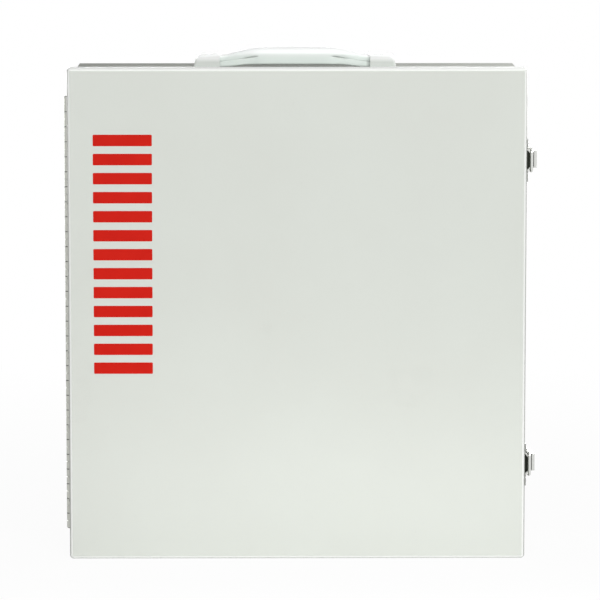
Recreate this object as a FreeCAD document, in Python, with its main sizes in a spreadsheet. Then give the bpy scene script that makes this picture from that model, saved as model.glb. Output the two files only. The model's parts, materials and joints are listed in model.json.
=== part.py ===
import FreeCAD, Part
import math
import os
import re

import Sketcher
from FreeCAD import Placement, Rotation, Vector

# First aid cabinet of painted sheet steel, in millimetres.
# X runs across the front, with the hinge at minus X and the latches at plus X.
# Y runs from the front (minus) to the wall, and the outer face of the back lies at zero.
# Z runs up, and zero is the middle of the back.

doc = FreeCAD.newDocument("first_aid_cabinet")
sheet = doc.addObject("Spreadsheet::Sheet", "Sizes")

SIZES = {
    # Door pan
    "door_width": 368.0,
    "door_height": 398.0,
    "door_depth": 12.5,
    "door_bend": 3.0,
    "metal": 1.0,
    "overall_depth": 134.0,
    "seal_thickness": 3.0,
    "seal_width": 10.0,
    "seal_gap": 0.3,
    # Case
    "case_inset": 4.5,
    "case_bend": 1.2,
    "rim_return": 8.0,
    "tab_width": 11.0,
    "wall_hole_x": 140.0,
    "wall_hole_z": 150.0,
    "wall_hole_radius": 3.5,
    # Shelves
    "shelf_pitch": 96.0,
    "shelf_front_gap": 18.0,
    "shelf_latch_gap": 10.0,
    "shelf_lip": 14.0,
    "shelf_flange": 12.0,
    "shelf_flange_back": 8.0,
    "shelf_rivet_back": 20.0,
    # Piano hinge
    "knuckle_pitch": 6.05,
    "knuckle_count": 58,
    "knuckle_gap": 0.4,
    "knuckle_radius": 2.5,
    "knuckle_clear": 0.3,
    "leaf": 1.0,
    "leaf_width": 12.0,
    "case_leaf_width": 22.0,
    "hinge_drop": 0.3,
    "joggle_run": 2.5,
    "pin_proud": 0.5,
    "running_fit": 0.05,
    # Rivets and screws
    "rivet_radius": 1.6,
    "rivet_head_radius": 2.6,
    "rivet_head": 1.1,
    "rivet_fit": 0.05,
    "hinge_rivet_count": 6,
    "screw_radius": 1.5,
    "screw_head_radius": 3.3,
    "screw_head": 2.2,
    "screw_length": 9.5,
    "screw_end_gap": 0.5,
    # Strap handle
    "handle_setback": 78.0,
    "handle_shift": -1.4,
    "cap_mouth": 61.2,
    "cap_end": 83.0,
    "cap_height": 12.0,
    "cap_width": 28.0,
    "cap_wall": 2.2,
    "cap_round": 4.5,
    "cap_draft": 3.2,
    "cap_slope": 0.7,
    "cap_edge": 1.6,
    "cap_cavity": 19.2,
    "peg_x": 67.5,
    "peg_radius": 2.0,
    "cap_screw_x": 72.0,
    "cap_screw_y": 11.8,
    "tongue_width": 12.0,
    "tongue_thickness": 1.5,
    "tongue_height": 4.0,
    "tongue_travel": 7.0,
    "tongue_end": 2.2,
    "slot_fit": 0.3,
    "grip_end": 33.0,
    "grip_full": 20.0,
    "grip_round": 4.4,
    "grip_width": 24.0,
    "grip_low": 3.5,
    "grip_top": 17.0,
    "grip_end_width": 22.0,
    "grip_end_top": 16.2,
    "grip_end_low": 3.2,
    "grip_end_round": 3.6,
    "neck_mid": 46.0,
    "neck_mid_top": 13.3,
    "neck_mid_low": 2.2,
    "neck_mid_round": 3.0,
    "neck_width": 18.0,
    "neck_low": 1.0,
    "neck_top": 8.9,
    "neck_round": 2.4,
    "neck_straight": 3.0,
    "neck_insert": 1.8,
    "core_thickness": 1.2,
    "core_rise": 3.0,
    "plate_thickness": 1.5,
    "plate_width": 22.0,
    "plate_margin": 4.0,
    # Draw latches
    "latch_from_top": 74.7,
    "latch_from_bottom": 76.3,
    "pivot_setback": 9.8,
    "pivot_height": 8.6,
    "pivot_radius": 1.25,
    "latch_throw": 10.0,
    "over_centre": 1.4,
    "bail_reach": 6.3,
    "bail_height": 8.45,
    "wire_radius": 1.3,
    "wire_fit": 0.06,
    "bail_side": 8.75,
    "bail_bend": 2.8,
    "ear_inner": 4.7,
    "latch_metal": 1.0,
    "ear_radius": 2.6,
    "ear_lean": 5.0,
    "base_half": 13.0,
    "base_end": 40.0,
    "base_shoulder": 3.0,
    "base_corner": 4.0,
    "rest_setback": 22.0,
    "lever_half": 7.0,
    "lever_web": 13.5,
    "lever_fall": 7.0,
    "lever_floor": 2.2,
    "lever_end": 50.0,
    "nose_run": 5.4,
    "nose_lip": 2.4,
    "nose_round": 0.7,
    "cheek_edge": 1.2,
    "cheek_tail": 9.0,
    "lip_rise": 1.4,
    "lip_run": 3.0,
    "keeper_metal": 0.9,
    "keeper_rise": 3.9,
    "keeper_half": 17.0,
    "keeper_spread": 11.0,
    "keeper_knee": 1.9,
    "keeper_knee_half": 8.2,
    "keeper_crest": 5.5,
    "keeper_rivet_head": 0.5,
    "keeper_bend": 1.2,
    "keeper_edge": 0.4,
    "keeper_length": 8.6,
    "hook_gap": 0.45,
    # Guide pocket in the door
    "pocket_half": 125.0,
    "pocket_low": 29.0,
    "pocket_top": 139.0,
    "pocket_depth": 14.0,
    "pocket_flange": 9.0,
    "pocket_wing_drop": 20.0,
}

for row, (alias, value) in enumerate(SIZES.items(), start=1):
    sheet.set(f"A{row}", alias)
    sheet.set(f"B{row}", str(value))
    sheet.setAlias(f"B{row}", alias)
doc.recompute()

# Places that several pieces share, as formulas in the names above
CASE_X = "(door_width/2 - case_inset)"
CASE_Z = "(door_height/2 - case_inset)"
WRAP_X = "(door_width/2 - case_inset - metal)"
WRAP_Z = "(door_height/2 - case_inset - metal)"
INNER_Z = "(door_height/2 - case_inset - 2*metal)"
FRONT_Y = "(-overall_depth)"
SEAM_Y = "(door_depth - overall_depth)"
DOOR_INSIDE_Y = "(metal - overall_depth)"
RIM_Y = "(metal + seal_thickness + seal_gap - overall_depth)"
SHELF_Y = "(metal + seal_thickness + seal_gap - overall_depth + shelf_front_gap)"
HINGE_X = "(metal + leaf - knuckle_radius - door_width/2)"
HINGE_Y = "(door_depth - overall_depth + knuckle_radius + knuckle_clear)"
HINGE_HALF = "(knuckle_pitch*knuckle_count/2)"
HANDLE_Y = "(handle_setback - overall_depth)"
PIVOT_X = f"({CASE_X} + pivot_height)"
PIVOT_Y = f"({SEAM_Y} + pivot_setback)"
LINK_X = f"({CASE_X} + pivot_height - over_centre)"
LINK_Y = f"({SEAM_Y} + pivot_setback + latch_throw)"
BAR_X = f"({CASE_X} + bail_height)"
BAR_Y = f"({SEAM_Y} - bail_reach)"
CATCH_Y = f"({BAR_Y} + wire_radius + hook_gap)"
KEEPER_Y = f"({SEAM_Y} - keeper_edge)"
LINK_BEND = "(bail_side - lever_half - running_fit)"
POCKET_LOW = "(pocket_low - door_height/2)"
POCKET_TOP = "(pocket_top - door_height/2)"


def cells(text):
    """A formula with the spreadsheet's name put before each of its size names."""
    def named(word):
        return "Sizes." + word.group() if word.group() in SIZES else word.group()

    return re.sub(r"[a-z_]{4,}", named, text)


def number(text):
    """The value of a formula."""
    return float(sheet.evalExpression(cells(text)))


# Helpers for bodies, sketches and features
def new_body(label):
    body = doc.addObject("PartDesign::Body", label)
    body.Label = label
    return body


def sketch_in(body, plane, shift="0"):
    """An empty sketch on one of the body's own planes, moved along that plane's normal."""
    made = body.newObject("Sketcher::SketchObject", body.Name + "_sketch")
    support = next(item for item in body.Origin.OriginFeatures if item.Role == plane)
    made.AttachmentSupport = [(support, "")]
    made.MapMode = "FlatFace"
    made.setExpression("AttachmentOffset.Base.z", cells(shift))
    return made


def tie(sketch, kind, text, *refs):
    """A dimension of a sketch that follows a formula."""
    index = sketch.addConstraint(Sketcher.Constraint(kind, *refs, number(text)))
    sketch.setExpression(f"Constraints[{index}]", cells(text))


def pin_point(sketch, geometry, end, x, y):
    """Ties one point of a sketch to two formulas measured from the sketch's origin."""
    tie(sketch, "DistanceX", x, -1, 1, geometry, end)
    tie(sketch, "DistanceY", y, -1, 1, geometry, end)


def point(x, y):
    return Vector(number(x), number(y), 0)


def outline(sketch, corners):
    """A closed outline of straight runs through corners given as pairs of formulas."""
    places = [point(x, y) for x, y in corners]
    first = sketch.GeometryCount
    count = len(corners)
    for index, start in enumerate(places):
        sketch.addGeometry(Part.LineSegment(start, places[(index + 1) % count]))
    for index, (x, y) in enumerate(corners):
        following = first + (index + 1) % count
        sketch.addConstraint(Sketcher.Constraint("Coincident", first + index, 2, following, 1))
        pin_point(sketch, first + index, 1, x, y)


def rectangle(sketch, x_low, x_high, y_low, y_high):
    outline(sketch, [(x_low, y_low), (x_high, y_low), (x_high, y_high), (x_low, y_high)])


def circle(sketch, x, y, radius):
    made = sketch.addGeometry(Part.Circle(point(x, y), Vector(0, 0, 1), number(radius)))
    pin_point(sketch, made, 3, x, y)
    tie(sketch, "Radius", radius, made)


def arc_between(sketch, before, after, centre, radius, start_angle, end_angle, flipped):
    """An arc of a set radius that joins the end of one run to the start of another."""
    full = Part.Circle(centre, Vector(0, 0, 1), number(radius))
    made = sketch.addGeometry(Part.ArcOfCircle(full, start_angle, end_angle))
    first, last = (2, 1) if flipped else (1, 2)
    sketch.addConstraint(Sketcher.Constraint("Coincident", before, 2, made, first))
    sketch.addConstraint(Sketcher.Constraint("Coincident", after, 1, made, last))
    tie(sketch, "Radius", radius, made)


def run(sketch, start, end):
    """A straight run between two points, both tied to formulas."""
    made = sketch.addGeometry(Part.LineSegment(point(*start), point(*end)))
    pin_point(sketch, made, 1, *start)
    pin_point(sketch, made, 2, *end)
    return made


def rounded_box(sketch, y_half, z_low, z_high, radius):
    """A rectangle about the sketch's upright axis with four rounded corners."""
    left, right = f"-({y_half})", f"({y_half})"
    inner_low, inner_high = f"({z_low} + {radius})", f"({z_high} - {radius})"
    inner_left, inner_right = f"({left} + {radius})", f"({right} - {radius})"
    low = run(sketch, (inner_left, z_low), (inner_right, z_low))
    side = run(sketch, (right, inner_low), (right, inner_high))
    top = run(sketch, (inner_right, z_high), (inner_left, z_high))
    other = run(sketch, (left, inner_high), (left, inner_low))
    turn = math.pi / 2
    arc_between(sketch, low, side, point(inner_right, inner_low), radius, -turn, 0, False)
    arc_between(sketch, side, top, point(inner_right, inner_high), radius, 0, turn, False)
    arc_between(sketch, top, other, point(inner_left, inner_high), radius, turn, 2 * turn, False)
    arc_between(sketch, other, low, point(inner_left, inner_low), radius, 2 * turn, 3 * turn, False)


def pad(body, sketch, length, both_ways=False, backwards=False):
    made = body.newObject("PartDesign::Pad", body.Name + "_pad")
    made.Profile = sketch
    made.setExpression("Length", cells(length))
    made.SideType = "Symmetric" if both_ways else "One side"
    made.Reversed = backwards
    doc.recompute()
    return made


def cut(body, sketch, length):
    """A pocket that reaches half its length to each side of its sketch."""
    before = body.Shape.Volume
    made = body.newObject("PartDesign::Pocket", body.Name + "_cut")
    made.Profile = sketch
    made.setExpression("Length", cells(length))
    made.SideType = "Symmetric"
    doc.recompute()
    if body.Shape.Volume > before - 0.01:
        raise RuntimeError(f"A pocket in {body.Label} removed nothing")
    return made


def round_edges(body, radius, chosen):
    """A fillet on every edge that the given test accepts, by its middle and its direction."""
    doc.recompute()
    base = body.Tip
    names = []
    for index, edge in enumerate(base.Shape.Edges, start=1):
        if edge.Degenerated or not isinstance(edge.Curve, Part.Line):
            continue
        middle = edge.valueAt((edge.FirstParameter + edge.LastParameter) / 2)
        along = edge.tangentAt(edge.FirstParameter)
        if chosen(middle, along):
            names.append(f"Edge{index}")
    if not names:
        raise RuntimeError(f"No edge to round on {body.Label}")
    made = body.newObject("PartDesign::Fillet", body.Name + "_round")
    made.Base = (base, names)
    made.setExpression("Radius", cells(radius))
    doc.recompute()


def near(value, goal):
    return abs(value - goal) < 0.01


def holes(body, plane, shift, centres, radius, length):
    """Round holes through a sheet, with their centres as pairs of formulas."""
    made = sketch_in(body, plane, shift)
    for x, y in centres:
        circle(made, x, y, radius)
    cut(body, made, length)


def solids(label, shapes):
    """Several like solids under one name, such as a set of rivets."""
    made = doc.addObject("Part::Feature", label)
    made.Label = label
    made.Shape = Part.makeCompound(shapes)
    return made


RIVET_HOLE = "(rivet_radius + rivet_fit)"
THROUGH = "4*metal"


def dome(radius, base, rise):
    """The arc of a shallow dome, from its rim to its crown on the axis."""
    ball = (radius ** 2 + rise ** 2) / (2 * abs(rise))
    sign = math.copysign(1, rise)
    part_way = 0.6 * radius
    height = base + rise - sign * (ball - math.sqrt(ball ** 2 - part_way ** 2))
    return Part.Arc(Vector(radius, 0, base), Vector(part_way, 0, height), Vector(0, 0, base + rise)).toShape()


def rivet(place, outward, grip, rise):
    """A domed rivet: its head's underside lies at the place, and its tail closes past the grip."""
    shank = number("rivet_radius")
    head = number("rivet_head_radius")
    tail, tail_rise = 0.8 * head, 0.8 * rise
    corners = [(tail, -grip), (shank, -grip), (shank, 0), (head, 0)]
    sides = [Part.makeLine(Vector(a, 0, b), Vector(c, 0, d)) for (a, b), (c, d) in zip(corners, corners[1:])]
    axis = Part.makeLine(Vector(0, 0, rise), Vector(0, 0, -grip - tail_rise))
    edges = Part.sortEdges([dome(tail, -grip, -tail_rise), *sides, dome(head, 0, rise), axis])[0]
    made = Part.Face(Part.Wire(edges)).revolve(Vector(0, 0, 0), Vector(0, 0, 1), 360)
    made.Placement = Placement(place, Rotation(Vector(0, 0, 1), outward))
    return made


# Case: the top, back and bottom folded from one sheet, with a return at the rim
wrap = new_body("case_wrap")
profile = sketch_in(wrap, "YZ_Plane")
outline(profile, [
    (RIM_Y, f"{WRAP_Z} - rim_return"),
    (RIM_Y, WRAP_Z),
    ("0", WRAP_Z),
    ("0", f"-{WRAP_Z}"),
    (RIM_Y, f"-{WRAP_Z}"),
    (RIM_Y, f"rim_return - {WRAP_Z}"),
    (f"{RIM_Y} + metal", f"rim_return - {WRAP_Z}"),
    (f"{RIM_Y} + metal", f"metal - {WRAP_Z}"),
    ("-metal", f"metal - {WRAP_Z}"),
    ("-metal", f"{WRAP_Z} - metal"),
    (f"{RIM_Y} + metal", f"{WRAP_Z} - metal"),
    (f"{RIM_Y} + metal", f"{WRAP_Z} - rim_return"),
])
pad(wrap, profile, f"2*{CASE_X}", both_ways=True)
rim, outer = number(RIM_Y), number(WRAP_Z)
round_edges(wrap, "case_bend", lambda at, way: near(abs(way.x), 1) and near(abs(at.z), outer)
            and (near(at.y, 0) or near(at.y, rim)))
holes(wrap, "XZ_Plane", "0",
      [(f"{x}*wall_hole_x", f"{z}*wall_hole_z") for x in (-1, 1) for z in (-1, 1)],
      "wall_hole_radius", THROUGH)
CAP_SCREWS = [(f"handle_shift + {x}*cap_screw_x", f"{HANDLE_Y} + {y}*cap_screw_y")
              for x in (-1, 1) for y in (-1, 1)]
holes(wrap, "XY_Plane", WRAP_Z, CAP_SCREWS, "screw_radius + slot_fit", THROUGH)

# The outer shelves keep clear of the latches, and shelf flanges start behind the hinge leaf and latches
LATCHES = {"upper": "(door_height/2 - latch_from_top)", "lower": "(latch_from_bottom - door_height/2)"}
SHELVES = {
    "shelf_upper": f"min(shelf_pitch; {LATCHES['upper']} - base_half - shelf_latch_gap)",
    "shelf_middle": "0",
    "shelf_lower": f"max(-shelf_pitch; {LATCHES['lower']} + base_half + shelf_latch_gap)",
}
SHELF_FLANGE_Y = f"(max({HINGE_Y} + case_leaf_width; {SEAM_Y} + base_end) + slot_fit)"

# Where the rivets go, as pairs of depth and height
SHELF_RIVET_Y = [f"({SHELF_FLANGE_Y} + 2.5*rivet_head_radius)", "(-shelf_rivet_back)"]
SHELF_HOLES = [(y, f"{level} - shelf_flange*0.6") for level in SHELVES.values() for y in SHELF_RIVET_Y]
hinge_rivets = int(number("hinge_rivet_count"))
HINGE_LEVELS = [f"({HINGE_HALF} - 4*knuckle_pitch)*({2 * index}/{hinge_rivets - 1} - 1) - hinge_drop"
                for index in range(hinge_rivets)]
DOOR_LEAF_RIVET_Y = f"({HINGE_Y} - leaf_width*0.62)"
CASE_LEAF_RIVET_Y = f"({HINGE_Y} + case_leaf_width*0.72)"
BASE_RIVET_Y = f"({SEAM_Y} + base_end*0.72)"
BASE_RIVET_Z = "(base_half*0.76)"
KEEPER_RIVET_Y = f"({KEEPER_Y} - keeper_length/2)"
KEEPER_RIVET_Z = "(keeper_half*0.82)"
BASE_HOLES = [(BASE_RIVET_Y, f"{level} + {side}*{BASE_RIVET_Z}")
              for level in LATCHES.values() for side in (-1, 1)]
KEEPER_HOLES = [(KEEPER_RIVET_Y, f"{level} + {side}*{KEEPER_RIVET_Z}")
                for level in LATCHES.values() for side in (-1, 1)]
HINGE_DOOR_HOLES = [(DOOR_LEAF_RIVET_Y, level) for level in HINGE_LEVELS]
HINGE_CASE_HOLES = [(CASE_LEAF_RIVET_Y, level) for level in HINGE_LEVELS]

# Case sides: each has tabs that lie inside the top and bottom sheet, a return at the rim and a flange at the back,
# and it is notched at the rim where the folded sheet's own return passes
for label, side, wall_holes in (
    ("case_side_left", "-1", HINGE_CASE_HOLES),
    ("case_side_right", "1", BASE_HOLES),
):
    body = new_body(label)
    profile = sketch_in(body, "XZ_Plane", "metal")
    outline(profile, [
        (f"{side}*{CASE_X}", f"-{INNER_Z}"),
        (f"{side}*({CASE_X} - tab_width)", f"-{INNER_Z}"),
        (f"{side}*({CASE_X} - tab_width)", f"metal - {INNER_Z}"),
        (f"{side}*{WRAP_X}", f"metal - {INNER_Z}"),
        (f"{side}*{WRAP_X}", f"{INNER_Z} - metal"),
        (f"{side}*({CASE_X} - tab_width)", f"{INNER_Z} - metal"),
        (f"{side}*({CASE_X} - tab_width)", INNER_Z),
        (f"{side}*{CASE_X}", INNER_Z),
    ])
    pad(body, profile, f"-{RIM_Y} - metal")
    notches = sketch_in(body, "XZ_Plane", f"-{RIM_Y}")
    for end in ("-1", "1"):
        rectangle(notches, f"{side}*({CASE_X} + metal)", f"{side}*({CASE_X} - tab_width - metal)",
                  f"{end}*({WRAP_Z} - rim_return - slot_fit)", f"{end}*{CASE_Z}")
    cut(body, notches, "2*metal")
    returned = sketch_in(body, "XZ_Plane", f"-{RIM_Y} - metal")
    rectangle(returned, f"{side}*({CASE_X} - metal/2)", f"{side}*({WRAP_X} - rim_return)",
              f"rim_return + slot_fit - {WRAP_Z}", f"{WRAP_Z} - rim_return - slot_fit")
    pad(body, returned, "metal")
    flange = sketch_in(body, "XZ_Plane", "metal")
    rectangle(flange, f"{side}*({CASE_X} - metal/2)", f"{side}*({CASE_X} - tab_width)",
              f"4*metal - {WRAP_Z}", f"{WRAP_Z} - 4*metal")
    pad(body, flange, "metal")
    face, level = number(CASE_X), number(INNER_Z)
    round_edges(body, "case_bend*0.8", lambda at, way: near(abs(way.y), 1) and near(abs(at.x), face)
                and near(abs(at.z), level))
    holes(body, "YZ_Plane", f"{side}*{CASE_X}", wall_holes + SHELF_HOLES, RIVET_HOLE, THROUGH)

# Shelves with a lip in front and flanges that are riveted to the sides
for label, level in SHELVES.items():
    body = new_body(label)
    back = "(-2*metal - slot_fit)"
    profile = sketch_in(body, "YZ_Plane")
    outline(profile, [
        (SHELF_Y, f"{level} - metal"),
        (f"{back} - metal", f"{level} - metal"),
        (f"{back} - metal", f"{level} - shelf_flange"),
        (back, f"{level} - shelf_flange"),
        (back, level),
        (f"{SHELF_Y} + metal", level),
        (f"{SHELF_Y} + metal", f"{level} + shelf_lip"),
        (SHELF_Y, f"{level} + shelf_lip"),
    ])
    pad(body, profile, f"2*{WRAP_X}", both_ways=True)
    for side in ("-1", "1"):
        flange = sketch_in(body, "XZ_Plane", "shelf_flange_back")
        rectangle(flange, f"{side}*{WRAP_X}", f"{side}*({WRAP_X} - metal)",
                  f"{level} - shelf_flange", f"{level} - metal/2")
        pad(body, flange, f"-{SHELF_FLANGE_Y} - shelf_flange_back")
        spots = [(y, f"{level} - shelf_flange*0.6") for y in SHELF_RIVET_Y]
        holes(body, "YZ_Plane", f"{side}*{WRAP_X}", spots, RIVET_HOLE, THROUGH)
    front, floor = number(SHELF_Y), number(level) - number("metal")
    round_edges(body, "case_bend", lambda at, way: near(abs(way.x), 1) and near(at.y, front)
                and near(at.z, floor))

# Door: a pan with rounded edges and corners
door = new_body("door_pan")
block = sketch_in(door, "XZ_Plane", f"-{SEAM_Y}")
rectangle(block, "-door_width/2", "door_width/2", "-door_height/2", "door_height/2")
pad(door, block, "door_depth")
hollow = sketch_in(door, "XZ_Plane", f"-{SEAM_Y}")
inner_x, inner_z = "(door_width/2 - metal)", "(door_height/2 - metal)"
rectangle(hollow, f"-{inner_x}", inner_x, f"-{inner_z}", inner_z)
cut(door, hollow, "2*(door_depth - metal)")
for radius, floor, x, z in (
    ("door_bend - metal", number(DOOR_INSIDE_Y), number(inner_x), number(inner_z)),
    ("door_bend", number(FRONT_Y), number("door_width/2"), number("door_height/2")),
):
    round_edges(door, radius, lambda at, way: near(at.y, floor) or (
        near(abs(way.y), 1) and near(abs(at.x), x) and near(abs(at.z), z)))
holes(door, "YZ_Plane", "-door_width/2", HINGE_DOOR_HOLES, RIVET_HOLE, THROUGH)
holes(door, "YZ_Plane", "door_width/2", KEEPER_HOLES, RIVET_HOLE, THROUGH)

# Foam seal that the rim of the case closes on
seal = new_body("door_seal")
ring = sketch_in(seal, "XZ_Plane", f"-{DOOR_INSIDE_Y} - seal_thickness")
rectangle(ring, f"-{CASE_X} - metal", f"{CASE_X} + metal", f"-{CASE_Z} - metal", f"{CASE_Z} + metal")
rectangle(ring, f"seal_width - {CASE_X}", f"{CASE_X} - seal_width", f"seal_width - {CASE_Z}",
          f"{CASE_Z} - seal_width")
pad(seal, ring, "seal_thickness")

# Guide pocket welded inside the door, open at its top
pocket = new_body("door_guide_pocket")
tray = sketch_in(pocket, "XZ_Plane", f"-{DOOR_INSIDE_Y} - pocket_depth")
rectangle(tray, "-pocket_half", "pocket_half", POCKET_LOW, POCKET_TOP)
pad(pocket, tray, "pocket_depth")
wings = sketch_in(pocket, "XZ_Plane", f"-{DOOR_INSIDE_Y} - metal")
rectangle(wings, "-pocket_half - pocket_flange", "pocket_half + pocket_flange", POCKET_LOW,
          f"{POCKET_TOP} - pocket_wing_drop")
pad(pocket, wings, "metal")
room = sketch_in(pocket, "XZ_Plane", f"-{DOOR_INSIDE_Y}")
rectangle(room, "metal - pocket_half", "pocket_half - metal", f"{POCKET_LOW} + metal",
          f"{POCKET_TOP} + metal")
cut(pocket, room, "2*(pocket_depth - metal)")

# Piano hinge: each leaf carries every other knuckle
for label, way, first in (("hinge_door_leaf", -1, 1), ("hinge_case_leaf", 1, 0)):
    body = new_body(label)
    inner = f"({HINGE_X} + knuckle_radius - leaf)"
    outer_face = f"({HINGE_X} + knuckle_radius)"
    start = f"({HINGE_Y} + {way}*(knuckle_radius + knuckle_clear))"
    strip = sketch_in(body, "XY_Plane", f"-{HINGE_HALF} - hinge_drop")
    if way < 0:
        rectangle(strip, inner, outer_face, f"{HINGE_Y} - leaf_width", start)
    else:
        outline(strip, [
            (inner, start),
            (outer_face, start),
            (outer_face, f"{start} + leaf"),
            (f"-{CASE_X}", f"{start} + joggle_run + leaf"),
            (f"-{CASE_X}", f"{HINGE_Y} + case_leaf_width"),
            (f"-{CASE_X} - leaf", f"{HINGE_Y} + case_leaf_width"),
            (f"-{CASE_X} - leaf", f"{start} + joggle_run + 1.7*leaf"),
            (inner, f"{start} + 2.2*leaf"),
        ])
    pad(body, strip, f"2*{HINGE_HALF}")
    knuckle = sketch_in(body, "XY_Plane", f"{first}*knuckle_pitch + knuckle_gap/2 - {HINGE_HALF} - hinge_drop")
    centre = point(HINGE_X, HINGE_Y)
    radius = number("knuckle_radius")
    side = number("knuckle_radius - leaf")
    drop = math.sqrt(radius ** 2 - side ** 2)
    tip = Vector(centre.x + radius, centre.y, 0)
    root = Vector(centre.x + radius, number(start), 0)
    back = Vector(centre.x + side, number(start), 0)
    meet = Vector(centre.x + side, centre.y + way * drop, 0)
    long_run = knuckle.addGeometry(Part.LineSegment(tip, root))
    end_run = knuckle.addGeometry(Part.LineSegment(root, back))
    short_run = knuckle.addGeometry(Part.LineSegment(back, meet))
    angle = math.atan2(drop, side)
    full = Part.Circle(centre, Vector(0, 0, 1), radius)
    if way > 0:
        curl = knuckle.addGeometry(Part.ArcOfCircle(full, angle, 2 * math.pi))
    else:
        curl = knuckle.addGeometry(Part.ArcOfCircle(full, 0, 2 * math.pi - angle))
    near_end, far_end = (1, 2) if way > 0 else (2, 1)
    knuckle.addConstraint(Sketcher.Constraint("Coincident", long_run, 2, end_run, 1))
    knuckle.addConstraint(Sketcher.Constraint("Coincident", end_run, 2, short_run, 1))
    knuckle.addConstraint(Sketcher.Constraint("Coincident", short_run, 2, curl, near_end))
    knuckle.addConstraint(Sketcher.Constraint("Coincident", long_run, 1, curl, far_end))
    knuckle.addConstraint(Sketcher.Constraint("Vertical", long_run))
    knuckle.addConstraint(Sketcher.Constraint("Vertical", short_run))
    knuckle.addConstraint(Sketcher.Constraint("Horizontal", end_run))
    pin_point(knuckle, curl, 3, HINGE_X, HINGE_Y)
    tie(knuckle, "Radius", "knuckle_radius", curl)
    tie(knuckle, "DistanceY", HINGE_Y, -1, 1, long_run, 1)
    tie(knuckle, "DistanceY", start, -1, 1, long_run, 2)
    tie(knuckle, "DistanceX", inner, -1, 1, end_run, 2)
    circle(knuckle, HINGE_X, HINGE_Y, "knuckle_radius - leaf")
    one = pad(body, knuckle, "knuckle_pitch - knuckle_gap")
    row = body.newObject("PartDesign::LinearPattern", label + "_row")
    row.Originals = [one]
    row.Direction = (next(item for item in body.Origin.OriginFeatures if item.Role == "Z_Axis"), [""])
    row.setExpression("Length", cells("knuckle_pitch*(knuckle_count - 2)"))
    row.setExpression("Occurrences", cells("knuckle_count/2"))
    body.Tip = row
    doc.recompute()
    spots = HINGE_DOOR_HOLES if way < 0 else HINGE_CASE_HOLES
    through = inner if way < 0 else f"-{CASE_X}"
    holes(body, "YZ_Plane", through, spots, RIVET_HOLE, THROUGH)

pin = doc.addObject("Part::Cylinder", "hinge_pin")
pin.Label = "hinge_pin"
pin.setExpression("Radius", cells("knuckle_radius - leaf - running_fit"))
pin.setExpression("Height", cells(f"2*({HINGE_HALF} + pin_proud)"))
pin.setExpression("Placement.Base.x", cells(HINGE_X))
pin.setExpression("Placement.Base.y", cells(HINGE_Y))
pin.setExpression("Placement.Base.z", cells(f"-{HINGE_HALF} - hinge_drop - pin_proud"))

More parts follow.
